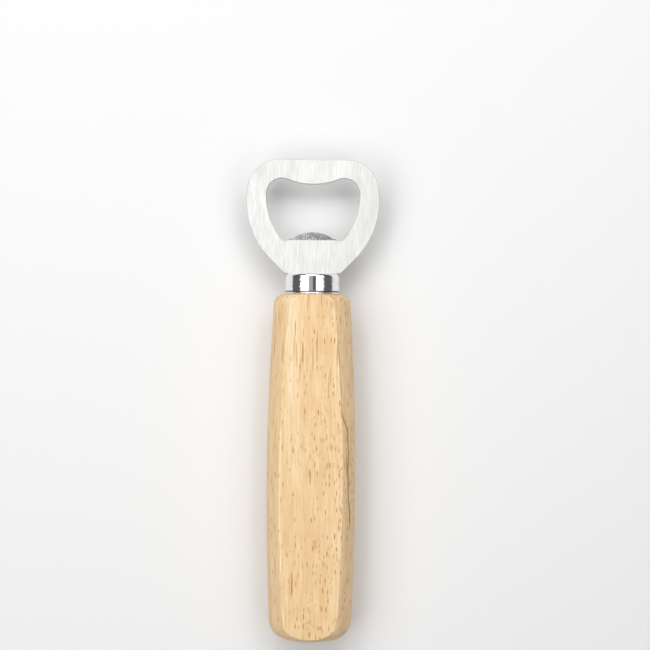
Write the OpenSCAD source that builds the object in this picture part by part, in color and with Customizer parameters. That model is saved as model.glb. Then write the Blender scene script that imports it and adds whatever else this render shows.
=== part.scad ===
// Hand bottle opener: stamped steel head, chromed ferrule, flat-sided turned wooden handle.
// Lying on the handle's back flat: X across, Y along the opener towards the head, Z up.
// Handle stations (_t) run up from the butt end, head stations (_u) from the head's foot.

/* [Head plate] */
// head length above its foot on the ferrule
head_l = 33.5; // [25:0.1:50]
// sheet thickness
plate_th = 2.5; // [1.5:0.1:4]
// greatest half width of the head
head_half_w = 19.6; // [15:0.1:26]
// station of the greatest head width
head_widest_u = 21.3; // [15:0.1:40]
// radius of the head's long side curves
head_side_r = 24; // [18:0.5:40]
// radius of the two top corners
head_corner_r = 9; // [4:0.1:14]

/* [Cap opening] */
// greatest half width of the opening
open_half_w = 13.8; // [10:0.1:18]
// station of the greatest opening width
open_widest_u = 23.3; // [15:0.1:40]
// radius of the opening's long side curves
open_side_r = 21.5; // [15:0.5:40]
// radius of the two upper lobes
lobe_r = 4.6; // [2:0.1:8]
// radius of the convex lip on the upper bar
lip_r = 20; // [10:0.5:40]
// lowest point of the lip
lip_u = 26.3; // [15:0.1:45]
// straight edge of the lower bar, where the tongue is bent
bar_edge_u = 9.9; // [5:0.1:25]
// radius of the relief notch each side of the tongue
notch_r = 1.7; // [0.8:0.1:3]
// lowest point of the relief notches
notch_u = 9.6; // [5:0.1:25]

/* [Tongue] */
// tongue half width at its root
tongue_half_w = 7; // [4:0.1:10]
// tongue length measured on the slope
tongue_l = 2.95; // [1.5:0.05:6]
// radius of the tongue's domed end
tongue_r = 8.5; // [5:0.1:15]
// radius of the hollow flank each side of the dome
tongue_flank_r = 1.5; // [0.5:0.1:4]
// length of the tongue's straight root, outside the flanks
tongue_root_l = 0.3; // [0.1:0.05:1]
// tongue thickness
tongue_th = 2.2; // [1:0.1:4]
// how far the tongue is bent to the back
tongue_angle = 35; // [15:1:60]
// step from the plate's face down to the tongue's root
tongue_step = 0.35; // [0.1:0.05:1]

/* [Tang] */
// tang width
tang_w = 8.4; // [5:0.1:12]
// tang length below the head's foot
tang_l = 42; // [20:1:70]

/* [Ferrule] */
// outside diameter
ferrule_d = 16.2; // [12:0.1:22]
// length seen between wood and head
ferrule_l = 6.1; // [3:0.1:15]
// wall thickness
ferrule_wall = 0.7; // [0.4:0.1:2]
// thickness of the closed top
ferrule_top_th = 0.8; // [0.4:0.1:2]
// rounding of the top edge
ferrule_edge_r = 0.9; // [0.3:0.1:3]
// radius of the ring groove near the lower end
groove_r = 0.28; // [0.1:0.02:0.6]
// height of the groove above the lower end
groove_h = 0.85; // [0.4:0.05:3]
// play of the tang in the ferrule's slot
slot_play = 0.1; // [0.05:0.01:0.4]

/* [Handle] */
// wooden barrel length, butt end to ferrule
barrel_l = 102.1; // [80:0.1:130]
// handle across the two flats
flats_w = 18.8; // [14:0.1:24]
// greatest turned radius
barrel_r = 13.1; // [9:0.1:18]
// station of the greatest radius
barrel_widest_t = 45.6; // [30:0.1:70]
// radius of the long barrel curve
barrel_curve_r = 780; // [200:10:2000]
// rounding at the shoulder
shoulder_r = 2.8; // [0.5:0.1:4]
// rounding at the butt end
butt_r = 5.8; // [1:0.1:8]
// height of the butt rounding's centre, which sets how domed the end is
butt_centre_t = 6.4; // [6:0.1:9]
// bore for the tang
bore_d = 9.6; // [8:0.1:12]
// depth of glue below the tang's tip
bore_extra = 3; // [1:0.5:10]

/* [Hidden] */
$fn = 96;

steel = [0.80, 0.80, 0.79];
chrome = [0.85, 0.86, 0.87];
wood = [0.87, 0.70, 0.47];
epoxy = [0.82, 0.74, 0.52];

// joined arcs overlap by this, so that each pair meets in one clean edge
lap = 0.001;
axis_z = flats_w / 2;
foot_t = barrel_l + ferrule_l;
total_l = foot_t + head_l;
ferrule_r = ferrule_d / 2;
tenon_r = ferrule_r - ferrule_wall;
tenon_l = ferrule_l - ferrule_top_th - 0.1;
tang_end_r = tang_w / 2;
bore_l = tang_l + bore_extra - ferrule_top_th;
bore_end_t = foot_t - tang_l - bore_extra;

// head outline: corner circles touch the side circles from inside
side_cx = head_half_w - head_side_r;
corner_cu = head_l - head_corner_r;
corner_du = corner_cu - head_widest_u;
corner_reach = head_side_r - head_corner_r + lap;
corner_cx = side_cx + sqrt(corner_reach * corner_reach - corner_du * corner_du);
corner_tx = side_cx + (corner_cx - side_cx) * head_side_r / corner_reach;
corner_tu = head_widest_u + corner_du * head_side_r / corner_reach;
// below, the side curve runs on at 45 degrees down to the foot
flank_x = side_cx + head_side_r * cos(45);
flank_u = head_widest_u - head_side_r * sin(45);
foot_half_w = flank_x - flank_u - lap;

// opening outline: lobes and notches touch the side circles from inside
open_cx = open_half_w - open_side_r;
lip_cu = lip_u + lip_r;
lobe_reach = lip_r + lobe_r - lap;
lobe_cx = open_half_w - lobe_r + lap;
lobe_cu = lip_cu - sqrt(lobe_reach * lobe_reach - lobe_cx * lobe_cx);
lobe_tx = lobe_cx * (lip_r - 1) / lobe_reach;
lobe_tu = lip_cu - (lip_cu - lobe_cu) * (lip_r - 1) / lobe_reach;
notch_cu = notch_u + notch_r;
notch_reach = open_side_r - notch_r + lap;
notch_du = open_widest_u - notch_cu;
notch_cx = open_cx + sqrt(notch_reach * notch_reach - notch_du * notch_du);
notch_tx = open_cx + (notch_cx - open_cx) * open_side_r / notch_reach;
notch_tu = open_widest_u - notch_du * open_side_r / notch_reach;

// tongue outline: the flank circles stand on the root and touch the dome from outside
tip_cu = tongue_l - tongue_r;
flank_cu = tongue_root_l + tongue_flank_r - lap;
flank_du = flank_cu - tip_cu;
flank_reach = tongue_r + tongue_flank_r - lap;
flank_cx = sqrt(flank_reach * flank_reach - flank_du * flank_du);
flank_tx = flank_cx * tongue_r / flank_reach;
flank_tu = tip_cu + flank_du * tongue_r / flank_reach;

// barrel outline: corner circles touch the barrel curve from inside
barrel_cx = barrel_r - barrel_curve_r;
butt_reach = barrel_curve_r - butt_r + lap;
butt_dt = barrel_widest_t - butt_centre_t;
butt_cx = barrel_cx + sqrt(butt_reach * butt_reach - butt_dt * butt_dt);
butt_tx = barrel_cx + (butt_cx - barrel_cx) * barrel_curve_r / butt_reach;
butt_tt = barrel_widest_t - butt_dt * barrel_curve_r / butt_reach;
inset_r = butt_r - lap;
butt_rise = butt_centre_t - inset_r;
dome_r = (butt_cx * butt_cx + butt_centre_t * butt_centre_t - inset_r * inset_r) / (2 * butt_rise);
dome_tx = butt_cx * dome_r / (dome_r - inset_r);
dome_tt = dome_r - (dome_r - butt_centre_t) * dome_r / (dome_r - inset_r);
shoulder_ct = barrel_l - shoulder_r;
shoulder_reach = barrel_curve_r - shoulder_r + lap;
shoulder_dt = shoulder_ct - barrel_widest_t;
shoulder_cx = barrel_cx + sqrt(shoulder_reach * shoulder_reach - shoulder_dt * shoulder_dt);
shoulder_tx = barrel_cx + (shoulder_cx - barrel_cx) * barrel_curve_r / shoulder_reach;
shoulder_tt = barrel_widest_t + shoulder_dt * barrel_curve_r / shoulder_reach;

// put a shape made from the handle's butt end into the shared frame
module from_butt() {
  translate([0, -total_l / 2, axis_z])
    children();
}

// put a shape made from the head's foot into the shared frame
module from_foot() {
  translate([0, foot_t - total_l / 2, axis_z])
    children();
}

// turn a half profile (radius, station) about the opener's axis
module turned() {
  rotate([-90, 0, 0])
    rotate_extrude()
      children();
}

module both_sides() {
  children();
  mirror([1, 0, 0])
    children();
}

module head_outline() {
  intersection() {
    translate([side_cx, head_widest_u])
      circle(r = head_side_r);
    translate([-side_cx, head_widest_u])
      circle(r = head_side_r);
    polygon([
      [-flank_x - 5, flank_u - 1], [flank_x + 5, flank_u - 1], [head_half_w + 1, corner_tu],
      [corner_tx, corner_tu], [corner_cx, corner_cu], [corner_cx, head_l],
      [-corner_cx, head_l], [-corner_cx, corner_cu], [-corner_tx, corner_tu],
      [-head_half_w - 1, corner_tu]
    ]);
  }
  polygon([
    [-foot_half_w, 0], [foot_half_w, 0], [flank_x - lap, flank_u], [lap - flank_x, flank_u]
  ]);
  both_sides()
    translate([corner_cx, corner_cu])
      circle(r = head_corner_r);
}

module cap_opening() {
  difference() {
    intersection() {
      translate([open_cx, open_widest_u])
        circle(r = open_side_r);
      translate([-open_cx, open_widest_u])
        circle(r = open_side_r);
      polygon([
        [-notch_cx, bar_edge_u], [notch_cx, bar_edge_u], [notch_cx, notch_cu],
        [notch_tx, notch_tu], [open_half_w + 1, notch_tu], [open_half_w + 1, lobe_cu],
        [lobe_cx, lobe_cu], [lobe_tx, lobe_tu], [-lobe_tx, lobe_tu], [-lobe_cx, lobe_cu],
        [-open_half_w - 1, lobe_cu], [-open_half_w - 1, notch_tu], [-notch_tx, notch_tu],
        [-notch_cx, notch_cu]
      ]);
    }
    translate([0, lip_cu])
      circle(r = lip_r);
  }
  both_sides()
    translate([lobe_cx, lobe_cu])
      circle(r = lobe_r);
  both_sides()
    translate([notch_cx, notch_cu])
      circle(r = notch_r);
}

module tongue_outline() {
  difference() {
    union() {
      intersection() {
        translate([0, tip_cu])
          circle(r = tongue_r);
        translate([-tongue_half_w, 0])
          square([2 * tongue_half_w, tongue_l + 1]);
      }
      polygon([
        [-tongue_half_w, 0], [tongue_half_w, 0], [tongue_half_w, tongue_root_l],
        [flank_cx, tongue_root_l], [flank_tx, flank_tu], [-flank_tx, flank_tu],
        [-flank_cx, tongue_root_l], [-tongue_half_w, tongue_root_l]
      ]);
    }
    both_sides()
      translate([flank_cx, flank_cu])
        circle(r = tongue_flank_r);
  }
}

module tang_outline() {
  translate([-tang_end_r, tang_end_r - tang_l])
    square([tang_w, tang_l - tang_end_r + 1]);
  translate([0, tang_end_r - tang_l])
    circle(r = tang_end_r);
}

// the tongue's slab hangs from the lower bar's straight edge and slopes to the back
module tongue() {
  translate([0, bar_edge_u, plate_th / 2 - tongue_step])
    rotate([-tongue_angle, 0, 0])
      translate([0, 0, -tongue_th])
        linear_extrude(tongue_th)
          tongue_outline();
}

module head_plate() {
  color(steel)
    from_foot() {
      translate([0, 0, -plate_th / 2])
        linear_extrude(plate_th) {
          difference() {
            head_outline();
            cap_opening();
          }
          tang_outline();
        }
      tongue();
    }
}

module ferrule_profile() {
  difference() {
    union() {
      square([ferrule_r, ferrule_l - ferrule_edge_r]);
      square([ferrule_r - ferrule_edge_r, ferrule_l]);
      translate([ferrule_r - ferrule_edge_r, ferrule_l - ferrule_edge_r])
        circle(r = ferrule_edge_r);
    }
    translate([-1, -1])
      square([tenon_r + 1, ferrule_l - ferrule_top_th + 1]);
    translate([ferrule_r, groove_h])
      circle(r = groove_r);
  }
}

module ferrule() {
  color(chrome)
    from_foot()
      difference() {
        translate([0, -ferrule_l, 0])
          turned()
            ferrule_profile();
        translate([-tang_w / 2 - slot_play, -2, -plate_th / 2 - slot_play])
          cube([tang_w + 2 * slot_play, 3, plate_th + 2 * slot_play]);
      }
}

module barrel_profile() {
  intersection() {
    translate([barrel_cx, barrel_widest_t])
      circle(r = barrel_curve_r, $fn = 2880);
    polygon([
      [0, butt_centre_t], [butt_cx, butt_centre_t], [butt_tx, butt_tt],
      [barrel_r + 1, butt_tt], [barrel_r + 1, shoulder_tt], [shoulder_tx, shoulder_tt],
      [shoulder_cx, shoulder_ct], [shoulder_cx, barrel_l], [0, barrel_l]
    ]);
  }
  intersection() {
    translate([0, dome_r])
      circle(r = dome_r, $fn = 720);
    polygon([
      [0, -1], [dome_tx, -1], [dome_tx, dome_tt],
      [butt_cx, butt_centre_t], [0, butt_centre_t]
    ]);
  }
  translate([butt_cx, butt_centre_t])
    circle(r = butt_r);
  translate([shoulder_cx, shoulder_ct])
    circle(r = shoulder_r);
  translate([0, barrel_l - 1])
    square([tenon_r, tenon_l + 1]);
}

module handle() {
  color(wood)
    from_butt()
      difference() {
        intersection() {
          turned()
            barrel_profile();
          translate([-barrel_r - 1, -1, -axis_z])
            cube([2 * barrel_r + 2, total_l, flats_w]);
        }
        translate([0, bore_end_t, 0])
          rotate([-90, 0, 0])
            cylinder(d = bore_d, h = total_l);
      }
}

module tang_adhesive() {
  color(epoxy)
    from_foot()
      difference() {
        translate([0, -tang_l - bore_extra, 0])
          rotate([-90, 0, 0])
            cylinder(d = bore_d, h = bore_l);
        translate([0, 0, -plate_th / 2])
          linear_extrude(plate_th)
            tang_outline();
      }
}

head_plate();
ferrule();
handle();
tang_adhesive();
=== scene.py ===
"""Hand bottle opener: stamped steel head, chromed ferrule and a flat-sided turned wooden handle."""
import math

import bmesh
import bpy
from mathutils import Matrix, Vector


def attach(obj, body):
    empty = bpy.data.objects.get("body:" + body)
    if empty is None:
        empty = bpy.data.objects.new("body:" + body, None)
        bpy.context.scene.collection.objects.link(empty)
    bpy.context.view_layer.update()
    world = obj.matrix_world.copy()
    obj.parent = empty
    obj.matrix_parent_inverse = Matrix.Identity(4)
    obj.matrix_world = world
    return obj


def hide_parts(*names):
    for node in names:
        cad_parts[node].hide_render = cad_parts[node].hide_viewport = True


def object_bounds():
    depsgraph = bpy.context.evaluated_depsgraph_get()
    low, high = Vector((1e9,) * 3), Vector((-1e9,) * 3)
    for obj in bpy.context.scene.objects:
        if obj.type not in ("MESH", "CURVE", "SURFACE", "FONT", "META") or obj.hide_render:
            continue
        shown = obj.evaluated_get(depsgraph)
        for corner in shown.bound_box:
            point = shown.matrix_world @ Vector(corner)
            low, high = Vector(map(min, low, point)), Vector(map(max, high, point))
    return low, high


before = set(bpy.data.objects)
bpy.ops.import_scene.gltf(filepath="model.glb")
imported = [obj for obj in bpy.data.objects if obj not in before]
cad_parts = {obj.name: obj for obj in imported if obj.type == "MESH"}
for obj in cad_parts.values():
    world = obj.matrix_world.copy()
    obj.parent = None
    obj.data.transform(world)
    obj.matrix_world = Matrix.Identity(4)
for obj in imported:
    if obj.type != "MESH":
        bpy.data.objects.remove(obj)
cad_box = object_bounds()

MM = 0.001

# Lengths are in millimetres. The opener lies on its back flat, head towards +Y, front face up.
# Handle stations run up the opener from its butt end, ferrule stations from the handle's shoulder,
# and head stations from its foot on the ferrule's top.
FLATS_WIDTH = 18.8
BARREL_LENGTH = 102.1
BARREL_RADIUS = 13.1
BARREL_WIDEST = 45.6
BARREL_CURVE = 780.0
BUTT_ROUND = 5.8
BUTT_CENTRE = 6.4
SHOULDER_ROUND = 2.8
TENON_RADIUS = 7.4
TENON_LENGTH = 5.2
BORE_RADIUS = 4.8
BORE_DEPTH = 38.9
TENON_SUNK = 2
HANDLE_CUTS = 60

FERRULE_RADIUS = 8.1
FERRULE_LENGTH = 6.1
FERRULE_TOP = 0.8
FERRULE_EDGE = 0.9
BEAD_WIDTH = 0.6
GROOVE_WIDTH = 0.4
GROOVE_DEPTH = 0.25
TOP_HOLE = 0.5
SLOT_SIZE = (8.6, 2.7)
SLOT_CUT = 4

PLATE_THICKNESS = 2.5
EDGE_TUMBLE = 0.16
TONGUE_LINE = 9.85
TONGUE_HALF = 7.0
TONGUE_END = 13.0
ROOT_START = 8.3
ROOT_END = 10.3

# Slack in telling which face of the head a point lies on, or that it lies clear of one,
# how near two points are welded, and how upright the normal of a flat face is.
TOUCHING = 0.01
CLEAR = 0.1
WELDED = 0.02
UPRIGHT = 0.999

CENTRE_Z = FLATS_WIDTH / 2
SHEET_FRONT = CENTRE_Z + PLATE_THICKNESS / 2
BUTT_Y = cad_box[0].y / MM
SHOULDER_Y = BUTT_Y + BARREL_LENGTH
FOOT_Y = SHOULDER_Y + FERRULE_LENGTH


# ---------------------------------------------------------------- mesh helpers

def only(piece):
    """Select one piece alone and make it active."""
    bpy.ops.object.select_all(action="DESELECT")
    piece.select_set(True)
    bpy.context.view_layer.objects.active = piece


def edit(piece, element="VERT"):
    """Open a piece for editing with nothing selected, and return its edit mesh."""
    only(piece)
    bpy.ops.object.mode_set(mode="EDIT")
    bpy.ops.mesh.select_mode(type=element)
    bpy.ops.mesh.select_all(action="DESELECT")
    return bmesh.from_edit_mesh(piece.data)


def pick(piece, bm, elements):
    """Select these vertices, edges or faces of an open piece."""
    for element in elements:
        element.select = True
    bm.select_flush_mode()
    bmesh.update_edit_mesh(piece.data)


def close(piece, smooth_angle):
    """Leave edit mode, with smooth shading wherever faces meet below an angle in degrees."""
    bpy.ops.object.mode_set(mode="OBJECT")
    only(piece)
    bpy.ops.object.shade_smooth_by_angle(angle=math.radians(smooth_angle))


def cut(piece, tool, operation="DIFFERENCE"):
    """Cut the piece with a tool solid, or join the two, and throw the tool away."""
    only(piece)
    modifier = piece.modifiers.new("cut", "BOOLEAN")
    modifier.operation = operation
    modifier.solver = "EXACT"
    modifier.object = tool
    bpy.ops.object.modifier_apply(modifier=modifier.name)
    bpy.data.objects.remove(tool, do_unlink=True)


def rod(radius, start_y, end_y):
    """A round bar on the opener's axis."""
    bpy.ops.mesh.primitive_cylinder_add(
        vertices=96, radius=radius * MM, depth=(end_y - start_y) * MM,
        location=(0, (start_y + end_y) / 2 * MM, CENTRE_Z * MM),
        rotation=(math.pi / 2, 0, 0))
    bpy.ops.object.transform_apply(location=True, rotation=True, scale=True)
    return bpy.context.object


def arc(centre, radius, start, end, steps):
    """Points along an arc from one angle to another, in degrees."""
    points = []
    for step in range(steps + 1):
        angle = math.radians(start + (end - start) * step / steps)
        points.append((centre[0] + radius * math.cos(angle), centre[1] + radius * math.sin(angle)))
    return points


def lathe(name, profile, foot_y, sides=128):
    """Turn a closed profile of (radius, station) points round the opener's axis."""
    bpy.ops.object.select_all(action="DESELECT")
    radius, station = profile[0]
    bpy.ops.mesh.primitive_plane_add(size=MM)
    piece = bpy.context.object
    piece.name = name
    bpy.ops.object.mode_set(mode="EDIT")
    bpy.ops.mesh.merge(type="CENTER")
    bpy.ops.transform.translate(value=(radius * MM, (foot_y + station) * MM, CENTRE_Z * MM))
    for next_radius, next_station in profile[1:] + profile[:1]:
        move = ((next_radius - radius) * MM, (next_station - station) * MM, 0)
        bpy.ops.mesh.extrude_region_move(TRANSFORM_OT_translate={"value": move})
        radius, station = next_radius, next_station
    bpy.ops.mesh.select_all(action="SELECT")
    bpy.ops.mesh.remove_doubles(threshold=1e-6)
    bpy.ops.mesh.spin(steps=sides, angle=2 * math.pi, center=(0, 0, CENTRE_Z * MM), axis=(0, 1, 0))
    bpy.ops.mesh.select_all(action="SELECT")
    bpy.ops.mesh.remove_doubles(threshold=1e-6)
    bpy.ops.mesh.normals_make_consistent(inside=False)
    bpy.ops.object.mode_set(mode="OBJECT")
    return piece


# ---------------------------------------------------------------- handle

BARREL_AXIS = BARREL_RADIUS - BARREL_CURVE
BUTT_X = BARREL_AXIS + math.sqrt(
    (BARREL_CURVE - BUTT_ROUND) ** 2 - (BARREL_WIDEST - BUTT_CENTRE) ** 2)
DOME = (BUTT_X ** 2 + BUTT_CENTRE ** 2 - BUTT_ROUND ** 2) / (2 * (BUTT_CENTRE - BUTT_ROUND))
DOME_EDGE = BUTT_X * DOME / (DOME - BUTT_ROUND)
SHOULDER_CENTRE = BARREL_LENGTH - SHOULDER_ROUND
SHOULDER_X = BARREL_AXIS + math.sqrt(
    (BARREL_CURVE - SHOULDER_ROUND) ** 2 - (SHOULDER_CENTRE - BARREL_WIDEST) ** 2)


def half_chord(radius, distance):
    """Half the width of a circle, measured at a distance from its centre."""
    return math.sqrt(max(radius ** 2 - distance ** 2, 0))


def barrel_radius(station):
    """Radius of the turned barrel, with its two end roundings."""
    if station < BUTT_CENTRE:
        return BUTT_X + half_chord(BUTT_ROUND, BUTT_CENTRE - station)
    if station > SHOULDER_CENTRE:
        return SHOULDER_X + half_chord(SHOULDER_ROUND, station - SHOULDER_CENTRE)
    return BARREL_AXIS + half_chord(BARREL_CURVE, station - BARREL_WIDEST)


def butt_station(radius):
    """Station of the domed butt end at a radius."""
    if radius < DOME_EDGE:
        return DOME - half_chord(DOME, radius)
    return BUTT_CENTRE - half_chord(BUTT_ROUND, radius - BUTT_X)


def shoulder_station(radius):
    """Station of the flat shoulder, and of its rounded rim, at a radius."""
    if radius < SHOULDER_X:
        return BARREL_LENGTH
    return SHOULDER_CENTRE + half_chord(SHOULDER_ROUND, radius - SHOULDER_X)


def whittle(across, along, height):
    """Where a point of a block that runs from -1 to 1 each way lies on the handle."""
    half_way = math.sqrt(0.5)
    butt_rim = BUTT_X + BUTT_ROUND * half_way
    shoulder_rim = SHOULDER_X + SHOULDER_ROUND * half_way
    z = height * CENTRE_Z
    butt_side = across * half_chord(butt_rim, z)
    shoulder_side = across * half_chord(shoulder_rim, z)
    low = butt_station(math.hypot(butt_side, z))
    high = shoulder_station(math.hypot(shoulder_side, z))
    if along <= -1:
        return butt_side, low, z
    if along >= 1:
        return shoulder_side, high, z
    share = (1 - math.cos(math.pi * (along + 1) / 2)) / 2
    rim_low = butt_station(butt_rim)
    rim_high = shoulder_station(shoulder_rim)
    rim_station = rim_low + (rim_high - rim_low) * share
    station = rim_station if abs(height) < 1 else low + (high - low) * share
    return across * half_chord(barrel_radius(rim_station), z), station, z


def make_handle():
    """A block carved to the turned barrel with its two flats, arrises eased, then tenon and bore."""
    bpy.ops.object.select_all(action="DESELECT")
    bpy.ops.mesh.primitive_cube_add(size=2)
    handle = bpy.context.object
    handle.name = "wooden_handle"
    edit(handle)
    bpy.ops.mesh.select_all(action="SELECT")
    bpy.ops.mesh.subdivide(number_cuts=HANDLE_CUTS)
    bpy.ops.mesh.select_all(action="DESELECT")
    bm = bmesh.from_edit_mesh(handle.data)
    arrises = []
    for vert in bm.verts:
        block = [round(value, 6) for value in vert.co]
        if abs(block[2]) == 1 and max(abs(block[0]), abs(block[1])) == 1:
            arrises.append(vert)
        x, station, z = whittle(*block)
        vert.co = Vector((x, BUTT_Y + station, CENTRE_Z + z)) * MM
    beside = [edge.other_vert(vert) for vert in arrises for edge in vert.link_edges]
    pick(handle, bm, arrises + beside)
    bpy.ops.mesh.vertices_smooth(factor=0.5, repeat=2)
    bpy.ops.object.mode_set(mode="OBJECT")
    cut(handle, rod(TENON_RADIUS, SHOULDER_Y - TENON_SUNK, SHOULDER_Y + TENON_LENGTH), "UNION")
    cut(handle, rod(BORE_RADIUS, SHOULDER_Y - BORE_DEPTH, FOOT_Y))
    close(handle, 40)
    return handle


# ---------------------------------------------------------------- ferrule

def ferrule_profile():
    """Half section of the drawn cup: rolled bead at the mouth, a groove, rounded top edge."""
    bore = TENON_RADIUS
    outside = FERRULE_RADIUS
    under = outside - GROOVE_DEPTH
    groove_end = BEAD_WIDTH + GROOVE_WIDTH
    bead = BEAD_WIDTH / 2
    points = [(bore, 0)]
    points += arc((outside - bead, bead), bead, -90, 60, 8)
    points += [(under, BEAD_WIDTH), (under, groove_end - GROOVE_DEPTH), (outside, groove_end)]
    edge_centre = (outside - FERRULE_EDGE, FERRULE_LENGTH - FERRULE_EDGE)
    points += arc(edge_centre, FERRULE_EDGE, 0, 90, 8)
    top = FERRULE_LENGTH - FERRULE_TOP
    points += [(TOP_HOLE, FERRULE_LENGTH), (TOP_HOLE, top), (bore, top)]
    return points


def make_ferrule():
    """The ferrule is spun as a cup, and its top is slotted for the tang."""
    ferrule = lathe("chrome_ferrule", ferrule_profile(), SHOULDER_Y)
    bpy.ops.object.select_all(action="DESELECT")
    bpy.ops.mesh.primitive_cube_add(
        size=1, location=(0, FOOT_Y * MM, CENTRE_Z * MM),
        scale=(SLOT_SIZE[0] * MM, SLOT_CUT * MM, SLOT_SIZE[1] * MM))
    cut(ferrule, bpy.context.object)
    close(ferrule, 35)
    return ferrule


# ---------------------------------------------------------------- head

def on_tongue(face):
    """Whether the whole of a face lies on the tongue, below the plate's front."""
    for vert in face.verts:
        x, y, z = vert.co / MM
        in_reach = FOOT_Y + TONGUE_LINE <= y <= FOOT_Y + TONGUE_END
        in_line = abs(x) <= TONGUE_HALF + CLEAR
        if not (in_reach and in_line and z <= SHEET_FRONT - CLEAR):
            return False
    return True


def tumbled(edge):
    """Whether an edge is tumbled: the sheet's outlines and the tongue's dome are, but not its root."""
    ends = [vert.co / MM for vert in edge.verts]
    stations = [end.y - FOOT_Y for end in ends]
    in_line = all(abs(end.x) < TONGUE_HALF + CLEAR for end in ends)
    on_front = all(abs(end.z - SHEET_FRONT) < TOUCHING for end in ends)
    on_back = all(abs(end.z - SHEET_FRONT + PLATE_THICKNESS) < TOUCHING for end in ends)
    on_dome = in_line and min(stations) > ROOT_END and max(stations) < TONGUE_END
    at_root = in_line and max(stations) > ROOT_START and min(stations) < TONGUE_END
    return on_front or on_dome or (on_back and not at_root)


def make_head():
    """The stamped head, with its sheared edges tumbled round except at the tongue's root."""
    head = bpy.data.objects.new("steel_head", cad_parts["head_plate"].data.copy())
    bpy.context.scene.collection.objects.link(head)
    edit(head, "EDGE")
    bpy.ops.mesh.select_all(action="SELECT")
    bpy.ops.mesh.remove_doubles(threshold=WELDED * MM)
    bpy.ops.mesh.customdata_custom_splitnormals_clear()
    bpy.ops.mesh.dissolve_limited(angle_limit=math.radians(0.5))
    bpy.ops.mesh.select_all(action="DESELECT")
    bpy.ops.mesh.edges_select_sharp(sharpness=math.radians(40))
    bm = bmesh.from_edit_mesh(head.data)
    rounded = [edge for edge in bm.edges if edge.select and tumbled(edge)]
    bpy.ops.mesh.select_all(action="DESELECT")
    pick(head, bm, rounded)
    bpy.ops.mesh.bevel(offset=EDGE_TUMBLE * MM, segments=3, affect="EDGES", clamp_overlap=False)
    close(head, 35)
    return head


def face_finishes(head):
    """Keep the sheet's two faces dead flat, and give the tongue its own finish."""
    bm = edit(head, "FACE")
    for face in bm.faces:
        face.smooth = abs(face.normal.z) < UPRIGHT
        face.material_index = 1 if on_tongue(face) else 0
    bmesh.update_edit_mesh(head.data)
    bpy.ops.object.mode_set(mode="OBJECT")


# ---------------------------------------------------------------- shader helpers

def add(tree, kind, inputs=None, **settings):
    """Add a node; each input takes a value, or is linked when it is given a socket."""
    node = tree.nodes.new(kind)
    for name, value in settings.items():
        setattr(node, name, value)
    for name, value in (inputs or {}).items():
        if isinstance(value, bpy.types.NodeSocket):
            tree.links.new(value, node.inputs[name])
        else:
            node.inputs[name].default_value = value
    return node


def maths(tree, operation, first, second=0.0, clamp=False):
    """The result of one sum on two values or sockets."""
    node = add(tree, "ShaderNodeMath", {0: first, 1: second}, operation=operation, use_clamp=clamp)
    return node.outputs[0]


def remap(tree, value, low, high, to_low=0.0, to_high=1.0):
    """A value eased from one range to another, and held at its ends."""
    inputs = {"Value": value, "From Min": low, "From Max": high, "To Min": to_low, "To Max": to_high}
    return add(tree, "ShaderNodeMapRange", inputs, interpolation_type="SMOOTHSTEP").outputs[0]


def tint(tree, factor, first, second):
    """One colour laid over another by a factor."""
    node = add(tree, "ShaderNodeMix", {"Factor": factor}, data_type="RGBA")
    for socket, colour in ((node.inputs[6], first), (node.inputs[7], second)):
        if isinstance(colour, bpy.types.NodeSocket):
            tree.links.new(colour, socket)
        else:
            socket.default_value = (*colour, 1)
    return node.outputs[2]


def new_material(name, metallic, roughness):
    """An empty Principled material, and the object's own coordinates to pattern it by."""
    material = bpy.data.materials.new(name)
    material.use_nodes = True
    tree = material.node_tree
    shader = tree.nodes["Principled BSDF"]
    shader.inputs["Metallic"].default_value = metallic
    shader.inputs["Roughness"].default_value = roughness
    place = add(tree, "ShaderNodeTexCoord").outputs["Object"]
    return material, tree, shader, place


def raise_relief(tree, shader, height, depth):
    """Give the shader a bump, with its depth in millimetres."""
    bump = add(tree, "ShaderNodeBump", {"Height": height, "Strength": 1.0, "Distance": depth * MM})
    tree.links.new(bump.outputs["Normal"], shader.inputs["Normal"])


# ---------------------------------------------------------------- shared effects

def new_group(name, inputs, output):
    """An empty node group with a vector input, number inputs and one number output."""
    group = bpy.data.node_groups.new(name, "ShaderNodeTree")
    group.interface.new_socket("Vector", in_out="INPUT", socket_type="NodeSocketVector")
    for title, value in inputs.items():
        socket = group.interface.new_socket(title, in_out="INPUT", socket_type="NodeSocketFloat")
        socket.default_value = value
    group.interface.new_socket(output, in_out="OUTPUT", socket_type="NodeSocketFloat")
    return group, group.nodes.new("NodeGroupInput").outputs, group.nodes.new("NodeGroupOutput").inputs


def stretched(tree, given):
    """The group's vector in cells that are Width across and Length along, both in millimetres."""
    across = maths(tree, "DIVIDE", 1 / MM, given["Width"])
    along = maths(tree, "DIVIDE", 1 / MM, given["Length"])
    scale = add(tree, "ShaderNodeCombineXYZ", {"X": across, "Y": along, "Z": across}).outputs[0]
    cells = add(tree, "ShaderNodeVectorMath", {0: given["Vector"], 1: scale}, operation="MULTIPLY")
    moved = add(tree, "ShaderNodeVectorMath", {0: cells.outputs[0], 1: given["Seed"]}, operation="ADD")
    return moved.outputs[0]


# How hard a streak's contrast pulls, and how small, how crisp and how faint a fleck may be.
STREAK_GAIN = 4.0
FLECK_SMALLEST = 0.45
FLECK_CRISPNESS = 2.5
FLECK_PALEST = 0.4


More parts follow.
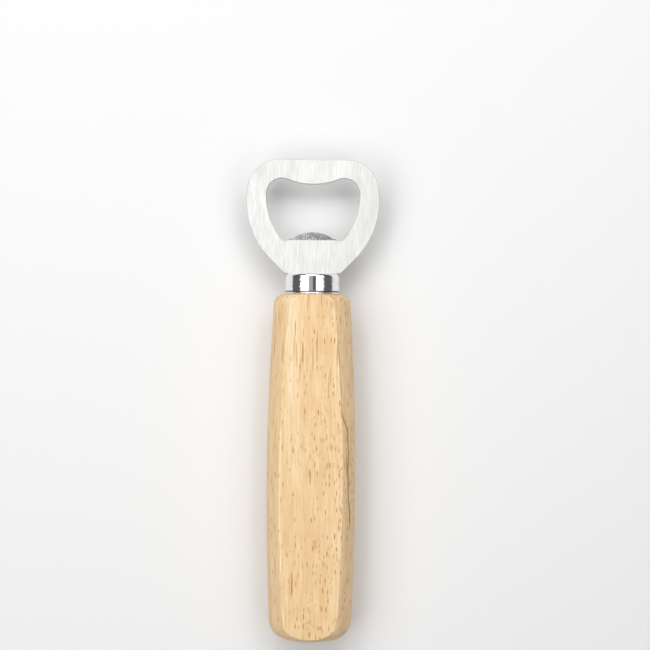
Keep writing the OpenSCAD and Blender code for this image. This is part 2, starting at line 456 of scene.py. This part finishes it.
def streak_group():
    """Soft lines along the opener, such as wood fibres or brush marks, from 0 to 1."""
    group, given, result = new_group(
        "streaks", {"Width": 1.0, "Length": 20.0, "Contrast": 0.5, "Seed": 0.0}, "Streaks")
    noise = add(group, "ShaderNodeTexNoise", {
        "Vector": stretched(group, given), "Scale": 1.0, "Detail": 2.0, "Roughness": 0.55})
    centred = maths(group, "SUBTRACT", noise.outputs[0], 0.5)
    gain = maths(group, "MULTIPLY", given["Contrast"], STREAK_GAIN)
    spread = maths(group, "MULTIPLY", centred, gain)
    group.links.new(maths(group, "ADD", spread, 0.5, clamp=True), result["Streaks"])
    return group


def fleck_group():
    """Scattered short marks along the opener, such as pores or dust; Share is how many cells hold one."""
    group, given, result = new_group(
        "flecks", {"Width": 1.0, "Length": 5.0, "Size": 0.3, "Share": 0.5, "Seed": 0.0}, "Flecks")
    cells = add(group, "ShaderNodeTexVoronoi", {
        "Vector": stretched(group, given), "Scale": 1.0, "Randomness": 1.0})
    parts = add(group, "ShaderNodeSeparateColor", {"Color": cells.outputs["Color"]}).outputs
    held = maths(group, "LESS_THAN", parts[0], given["Share"])
    size = maths(group, "MULTIPLY", given["Size"], maths(group, "ADD", parts[1], FLECK_SMALLEST))
    inside = maths(group, "SUBTRACT", 1.0, maths(group, "DIVIDE", cells.outputs["Distance"], size))
    soft = maths(group, "MULTIPLY", inside, FLECK_CRISPNESS, clamp=True)
    dark = maths(group, "MULTIPLY", parts[2], 1 - FLECK_PALEST)
    dark = maths(group, "ADD", dark, FLECK_PALEST)
    mark = maths(group, "MULTIPLY", maths(group, "MULTIPLY", soft, held), dark)
    group.links.new(mark, result["Flecks"])
    return group


STREAKS = streak_group()
FLECKS = fleck_group()


def use(tree, group, place, **values):
    """Place a shared effect in a material with its own values."""
    node = add(tree, "ShaderNodeGroup", node_tree=group)
    tree.links.new(place, node.inputs["Vector"])
    for name, value in values.items():
        socket = node.inputs[name.capitalize()]
        if isinstance(value, bpy.types.NodeSocket):
            tree.links.new(value, socket)
        else:
            socket.default_value = value
    return node.outputs[0]


# ---------------------------------------------------------------- materials

# How far the grain sways, and how many sways there are to a metre each way.
GRAIN_SWAY = 2.5
SWAY_CELLS = (60, 22, 60)

# Where the wood's marks fade in: across from the opener's axis, and along it on Y.
WARM_ACROSS = (7.0, 1.0)
STRIP_LEFT = (-8.0, -6.5)
STRIP_RIGHT = (-3.2, -4.6)
STRIP_ALONG = (-25.0, 5.0)
PINK_ALONG = (20.0, -60.0)
PORES_ACROSS = (-9.0, 5.0)
PORES_ALONG = (25.0, -30.0)
SCORES_ALONG = (-30.0, 15.0)

# The painted highlight along the arrises: how far below a flat the pale line fades in, and out again.
ARRIS_START = (0.002, 0.02)
ARRIS_END = (0.25, 0.12)

# The growth line: its place, its sideways run for each millimetre along, above its swing and
# below it, and where it fades.
LINE_SWINGS_Y = BUTT_Y + 61.4
LINE_OFFSET = 8.5
LINE_LEAN = -0.065
LINE_LOWER_LEAN = -0.03
LINE_SWING = 1.3
LINE_SWING_LENGTH = 6.5
LINE_WAVE = 0.3
LINE_EDGE = (0.28, 0.05)
LINE_FOOT = (-40.0, -34.0)
LINE_TOP = (24.0, 16.0)
LINE_BELOW_FLAT = (FLATS_WIDTH - 0.05, FLATS_WIDTH - 0.3)
LINE_ABOVE_MIDDLE = (CENTRE_Z, CENTRE_Z + 3)

# Where the steel turns duller towards the right arm, and where painted shade darkens it towards the top
# bar.
DULL_ACROSS = (2.0, 17.0)
TOP_BAR_SHADE_ALONG = (FOOT_Y + 18, FOOT_Y + 32)


def in_millimetres(tree, place):
    """The three object coordinates as sockets in millimetres."""
    axes = add(tree, "ShaderNodeSeparateXYZ", {"Vector": place}).outputs
    return [maths(tree, "DIVIDE", axes[letter], MM) for letter in "XYZ"]


def wandering_grain(tree, place, reach):
    """Object coordinates that sway slowly sideways, so that lines drawn in them do too."""
    slow = add(tree, "ShaderNodeMapping", {"Vector": place, "Scale": SWAY_CELLS}).outputs[0]
    sway = add(tree, "ShaderNodeTexNoise", {"Vector": slow, "Scale": 1.0, "Detail": 1.0}).outputs["Color"]
    centred = add(tree, "ShaderNodeVectorMath", {0: sway, 1: (0.5, 0.5, 0.5)}, operation="SUBTRACT")
    shift = add(tree, "ShaderNodeVectorMath", {0: centred.outputs[0], 1: (reach * MM, 0, reach * MM)},
                operation="MULTIPLY")
    moved = add(tree, "ShaderNodeVectorMath", {0: place, 1: shift.outputs[0]}, operation="ADD")
    return moved.outputs[0]


def wood_colour(tree, grain, x, y):
    """Cream wood with warm bands, a pale strip along the upper left and a pinker butt end."""
    bands = use(tree, STREAKS, grain, width=3.2, length=70.0, contrast=0.7, seed=3.0)
    colour = tint(tree, bands, (0.90, 0.67, 0.39), (0.80, 0.54, 0.27))
    mottle = use(tree, STREAKS, grain, width=2.2, length=6.0, contrast=1.0, seed=57.0)
    colour = tint(tree, maths(tree, "MULTIPLY", mottle, 0.55), colour, (0.93, 0.72, 0.44))
    warm = use(tree, STREAKS, grain, width=1.4, length=7.0, contrast=1.3, seed=83.0)
    middle = remap(tree, maths(tree, "ABSOLUTE", x), *WARM_ACROSS, 0.0, 0.35)
    warm = maths(tree, "MULTIPLY", warm, middle)
    colour = tint(tree, warm, colour, (0.80, 0.50, 0.25))
    strip = maths(tree, "MULTIPLY", remap(tree, x, *STRIP_LEFT), remap(tree, x, *STRIP_RIGHT))
    strip = maths(tree, "MULTIPLY", strip, remap(tree, y, *STRIP_ALONG))
    colour = tint(tree, maths(tree, "MULTIPLY", strip, 0.7), colour, (0.93, 0.76, 0.50))
    pink = use(tree, STREAKS, grain, width=6.0, length=25.0, contrast=0.8, seed=41.0)
    pink = maths(tree, "MULTIPLY", pink, remap(tree, y, *PINK_ALONG, 0.05, 0.25))
    return tint(tree, pink, colour, (0.85, 0.57, 0.34))


def painted_arris_highlight(tree, grain, z):
    """Painted highlight: a pale, broken line along each arris, where its rounding catches the light."""
    height = maths(tree, "ABSOLUTE", maths(tree, "SUBTRACT", z, CENTRE_Z))
    below_flat = maths(tree, "SUBTRACT", CENTRE_Z, height)
    start = remap(tree, below_flat, *ARRIS_START)
    arris = maths(tree, "MULTIPLY", start, remap(tree, below_flat, *ARRIS_END))
    breaks = use(tree, STREAKS, grain, width=6.0, length=8.0, contrast=1.2, seed=67.0)
    return maths(tree, "MULTIPLY", arris, remap(tree, breaks, 0.1, 0.8, 0.15, 0.75))


def growth_line(tree, grain, x, y, z):
    """A thin dark line of late wood beside the right arris, which swings out and on down the side."""
    wave = use(tree, STREAKS, grain, width=30.0, length=7.0, contrast=0.8, seed=17.0)
    beside = maths(tree, "MULTIPLY", maths(tree, "MAXIMUM", y, LINE_SWINGS_Y), LINE_LEAN)
    swing = remap(tree, y, LINE_SWINGS_Y + LINE_SWING_LENGTH, LINE_SWINGS_Y, 0.0, LINE_SWING)
    lower = maths(tree, "MINIMUM", maths(tree, "SUBTRACT", y, LINE_SWINGS_Y), 0.0)
    lower = maths(tree, "MULTIPLY", lower, LINE_LOWER_LEAN)
    line = maths(tree, "ADD", maths(tree, "ADD", beside, swing), maths(tree, "ADD", lower, LINE_OFFSET))
    line = maths(tree, "ADD", line, maths(tree, "MULTIPLY", wave, LINE_WAVE))
    off = maths(tree, "ABSOLUTE", maths(tree, "SUBTRACT", x, line))
    mark = remap(tree, off, *LINE_EDGE)
    span = maths(tree, "MULTIPLY", remap(tree, y, *LINE_FOOT), remap(tree, y, *LINE_TOP))
    side = maths(tree, "MULTIPLY", remap(tree, z, *LINE_BELOW_FLAT), remap(tree, z, *LINE_ABOVE_MIDDLE))
    return maths(tree, "MULTIPLY", mark, maths(tree, "MULTIPLY", span, side))


def open_pores(tree, place, grain, x, y):
    """Short dashes that crowd towards the lower right, and longer scores near the shoulder."""
    crowd = use(tree, STREAKS, place, width=14.0, length=22.0, contrast=0.6, seed=31.0)
    crowd = maths(tree, "MULTIPLY", crowd, remap(tree, y, *PORES_ALONG, 0.4, 1.3))
    crowd = maths(tree, "MULTIPLY", crowd, remap(tree, x, *PORES_ACROSS, 0.45, 1.3))
    pores = use(tree, FLECKS, grain, width=0.5, length=2.6, size=0.34, share=crowd, seed=5.0)
    few = remap(tree, y, *SCORES_ALONG, 0.08, 1.0)
    scores = use(tree, FLECKS, grain, width=0.8, length=16.0, size=0.24, share=few, seed=23.0)
    return maths(tree, "MAXIMUM", pores, scores)


def rubberwood():
    """Pale satin-lacquered rubberwood: fibres, warm bands, open pores and one dark growth line."""
    material, tree, shader, place = new_material("rubberwood", 0.0, 0.5)
    x, y, z = in_millimetres(tree, place)
    grain = wandering_grain(tree, place, GRAIN_SWAY)
    colour = wood_colour(tree, grain, x, y)
    fibres = use(tree, STREAKS, grain, width=0.45, length=9.0, contrast=1.0, seed=11.0)
    colour = tint(tree, maths(tree, "MULTIPLY", fibres, 0.5), colour, (0.72, 0.45, 0.20))
    # Painted highlight: a pale line along each arris.
    colour = tint(tree, painted_arris_highlight(tree, grain, z), colour, (0.96, 0.80, 0.55))
    open_grain = open_pores(tree, place, grain, x, y)
    colour = tint(tree, maths(tree, "MULTIPLY", open_grain, 0.9), colour, (0.46, 0.17, 0.04))
    line = growth_line(tree, grain, x, y, z)
    colour = tint(tree, maths(tree, "MULTIPLY", line, 0.85), colour, (0.33, 0.15, 0.05))
    open_grain = maths(tree, "MAXIMUM", open_grain, line)
    tree.links.new(colour, shader.inputs["Base Color"])

    height = maths(tree, "SUBTRACT", maths(tree, "MULTIPLY", fibres, 0.12), open_grain)
    raise_relief(tree, shader, height, 0.05)
    roughness = remap(tree, maths(tree, "ADD", open_grain, fibres), 0.0, 1.5, 0.44, 0.62)
    tree.links.new(roughness, shader.inputs["Roughness"])
    return material


def brushed_steel():
    """Stainless strip with a fine straight brush finish, duller on its right arm, with painted shade
    darkening its top bar.
    """
    material, tree, shader, place = new_material("brushed steel", 1.0, 0.55)
    x, y, _ = in_millimetres(tree, place)
    fine = use(tree, STREAKS, place, width=0.3, length=4.0, contrast=0.9)
    broad = use(tree, STREAKS, place, width=1.6, length=30.0, contrast=0.4, seed=7.0)
    fine = maths(tree, "MULTIPLY", fine, 0.75)
    lines = maths(tree, "ADD", fine, maths(tree, "MULTIPLY", broad, 0.25))
    colour = tint(tree, lines, (0.67, 0.67, 0.66), (0.79, 0.79, 0.78))
    haze_and_shade = use(tree, STREAKS, place, width=5.0, length=9.0, contrast=0.7, seed=13.0)
    right_arm = remap(tree, x, *DULL_ACROSS, 0.05, 0.5)
    # Painted shade: the steel's colour is darkened towards the top bar.
    top_bar_shade = remap(tree, y, *TOP_BAR_SHADE_ALONG, 0.0, 0.4)
    haze_and_shade = maths(tree, "MULTIPLY", haze_and_shade, maths(tree, "ADD", right_arm, top_bar_shade))
    colour = tint(tree, haze_and_shade, colour, (0.60, 0.60, 0.56))
    tree.links.new(colour, shader.inputs["Base Color"])
    tree.links.new(remap(tree, lines, 0.0, 1.0, 0.62, 0.52), shader.inputs["Roughness"])
    raise_relief(tree, shader, lines, 0.004)
    return material


def sheared_steel():
    """The tongue's face, torn into short upright marks by the press, with painted shade darkening it
    towards its right side.
    """
    material, tree, shader, place = new_material("sheared steel", 1.0, 0.5)
    tears = use(tree, STREAKS, place, width=0.35, length=0.9, contrast=1.0)
    blotches = use(tree, STREAKS, place, width=2.5, length=1.5, contrast=0.8, seed=4.0)
    pits = use(tree, FLECKS, place, width=0.5, length=0.9, size=0.4, share=0.5, seed=2.0)
    marks = maths(tree, "MULTIPLY", tears, maths(tree, "ADD", blotches, 0.5))
    marks = maths(tree, "SUBTRACT", marks, maths(tree, "MULTIPLY", pits, 0.4), clamp=True)
    colour = tint(tree, marks, (0.36, 0.36, 0.35), (0.95, 0.95, 0.94))
    # Painted shade: the tongue's colour darkens towards +X, its right side.
    shade = remap(tree, in_millimetres(tree, place)[0], -3.0, 6.0, 0.0, 0.45)
    colour = tint(tree, shade, colour, (0.22, 0.22, 0.21))
    tree.links.new(colour, shader.inputs["Base Color"])
    tree.links.new(remap(tree, marks, 0.0, 1.0, 0.65, 0.45), shader.inputs["Roughness"])
    raise_relief(tree, shader, marks, 0.08)
    return material


def burnished_marks(tree, x, y):
    """Fine slanting lines left by the polishing wheel, which meet in a peak over the axis."""
    reach = maths(tree, "ABSOLUTE", x)
    slant = maths(tree, "MULTIPLY", maths(tree, "ADD", y, reach), MM)
    along = maths(tree, "MULTIPLY", x, MM)
    turned = add(tree, "ShaderNodeCombineXYZ", {"X": slant, "Y": along}).outputs[0]
    lines = use(tree, STREAKS, turned, width=0.5, length=5.0, contrast=1.0, seed=29.0)
    return maths(tree, "MULTIPLY", lines, remap(tree, reach, 1.5, 3.5))


def bright_chrome():
    """Polished plating, a little wavy, with painted shade darkening the ring groove to a dark line."""
    material, tree, shader, place = new_material("bright chrome", 1.0, 0.08)
    x, y, _ = in_millimetres(tree, place)
    polish = use(tree, STREAKS, place, width=4.0, length=0.2, contrast=0.6)
    dust = use(tree, FLECKS, place, width=0.6, length=0.6, size=0.15, share=0.2, seed=9.0)
    waves = use(tree, STREAKS, place, width=1.6, length=2.4, contrast=0.5, seed=19.0)
    marks = burnished_marks(tree, x, y)
    groove = SHOULDER_Y + BEAD_WIDTH + GROOVE_WIDTH / 2
    painted_groove_shade = remap(tree, maths(tree, "ABSOLUTE", maths(tree, "SUBTRACT", y, groove)), 0.25, 0.12)
    colour = tint(tree, polish, (0.86, 0.86, 0.88), (0.93, 0.93, 0.94))
    colour = tint(tree, maths(tree, "MULTIPLY", marks, 0.25), colour, (0.55, 0.55, 0.56))
    # Painted shade: a near-black line along the ring groove.
    colour = tint(tree, maths(tree, "MULTIPLY", painted_groove_shade, 0.85), colour, (0.05, 0.04, 0.04))
    tree.links.new(colour, shader.inputs["Base Color"])
    worn = maths(tree, "MAXIMUM", dust, painted_groove_shade)
    worn = maths(tree, "ADD", maths(tree, "MULTIPLY", polish, 0.25), worn)
    tree.links.new(remap(tree, worn, 0.0, 1.2, 0.05, 0.3), shader.inputs["Roughness"])
    raise_relief(tree, shader, maths(tree, "ADD", maths(tree, "MULTIPLY", waves, 0.4), marks), 0.012)
    return material


def cured_glue():
    """Clear amber adhesive with small bubbles, inside the handle."""
    material, tree, shader, place = new_material("cured glue", 0.0, 0.3)
    bubbles = use(tree, FLECKS, place, width=1.2, length=1.2, size=0.35, share=0.4)
    colour = tint(tree, bubbles, (0.62, 0.43, 0.16), (0.80, 0.68, 0.42))
    tree.links.new(colour, shader.inputs["Base Color"])
    raise_relief(tree, shader, bubbles, 0.1)
    return material


def studio_paper():
    """Plain pale background paper."""
    material, _, shader, _ = new_material("studio paper", 0.0, 0.85)
    shader.inputs["Base Color"].default_value = (0.84, 0.84, 0.84, 1)
    return material


def paint(piece, *materials):
    """Put materials in a piece's slots, in order."""
    piece.data.materials.clear()
    for material in materials:
        piece.data.materials.append(material)


# ---------------------------------------------------------------- studio

VIEW_CENTRE = (3.8, 22.25)
VIEW_WIDTH = 191.7
VIEW_TURN = 0.43
CAMERA_HEIGHT = 600.0
SENSOR = 36.0
BOX_DISTANCE = 600.0
FLOOR_SIZE = 6000


def make_camera():
    """A camera straight above the opener, a shade off square."""
    data = bpy.data.cameras.new("camera")
    data.sensor_width = SENSOR
    data.lens = CAMERA_HEIGHT * SENSOR / VIEW_WIDTH
    camera = bpy.data.objects.new("camera", data)
    camera.location = Vector((*VIEW_CENTRE, CENTRE_Z + CAMERA_HEIGHT)) * MM
    camera.rotation_euler = (0, 0, math.radians(VIEW_TURN))
    bpy.context.scene.collection.objects.link(camera)
    bpy.context.scene.camera = camera


def soft_box(name, tilt, width, length, brightness, lean=0):
    """A soft box aimed at the opener, tilted sideways or leant towards the head by some degrees."""
    data = bpy.data.lights.new(name, "AREA")
    data.shape = "RECTANGLE"
    data.size = width * MM
    data.size_y = length * MM
    data.energy = brightness * math.pi * data.size * data.size_y
    light = bpy.data.objects.new(name, data)
    light.rotation_euler = (-math.radians(lean), math.radians(tilt), 0)
    light.location = light.rotation_euler.to_matrix() @ Vector((0, 0, BOX_DISTANCE * MM))
    bpy.context.scene.collection.objects.link(light)


def make_room(fill, backdrop):
    """A dim room for the reflections, seen as a pale backdrop by the camera."""
    world = bpy.data.worlds.new("studio room")
    world.use_nodes = True
    tree = world.node_tree
    seen = add(tree, "ShaderNodeLightPath").outputs["Is Camera Ray"]
    shade = remap(tree, seen, 0.0, 1.0, fill, backdrop)
    background = tree.nodes["Background"]
    background.inputs["Color"].default_value = (1, 1, 1, 1)
    tree.links.new(shade, background.inputs["Strength"])
    bpy.context.scene.world = world


def make_studio():
    """Floor, four soft boxes and the room."""
    bpy.ops.object.select_all(action="DESELECT")
    bpy.ops.mesh.primitive_plane_add(size=FLOOR_SIZE * MM)
    floor = bpy.context.object
    floor.name = "studio_floor"
    paint(floor, studio_paper())
    soft_box("left soft box", tilt=-32, width=374, length=850, brightness=2.15)
    soft_box("right soft box", tilt=31, width=344, length=850, brightness=1.35)
    soft_box("overhead soft box", tilt=-6, width=170, length=400, brightness=0.3)
    soft_box("end soft box", tilt=0, width=500, length=300, brightness=3.8, lean=38)
    make_room(fill=0.12, backdrop=0.9)
    bpy.context.scene.view_settings.view_transform = "Standard"


# ---------------------------------------------------------------- assembly

def assemble():
    """Make the pieces, finish them, hang each on the root body and hide the solid it stands in for."""
    handle = make_handle()
    ferrule = make_ferrule()
    head = make_head()
    paint(handle, rubberwood())
    paint(ferrule, bright_chrome())
    paint(head, brushed_steel(), sheared_steel())
    face_finishes(head)
    paint(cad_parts["tang_adhesive"], cured_glue())
    for piece, node, finish in (
            (handle, "handle", "wood"), (ferrule, "ferrule", "chrome"), (head, "head_plate", "steel")):
        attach(piece, "root")
        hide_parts(node)


make_camera()
make_studio()
assemble()
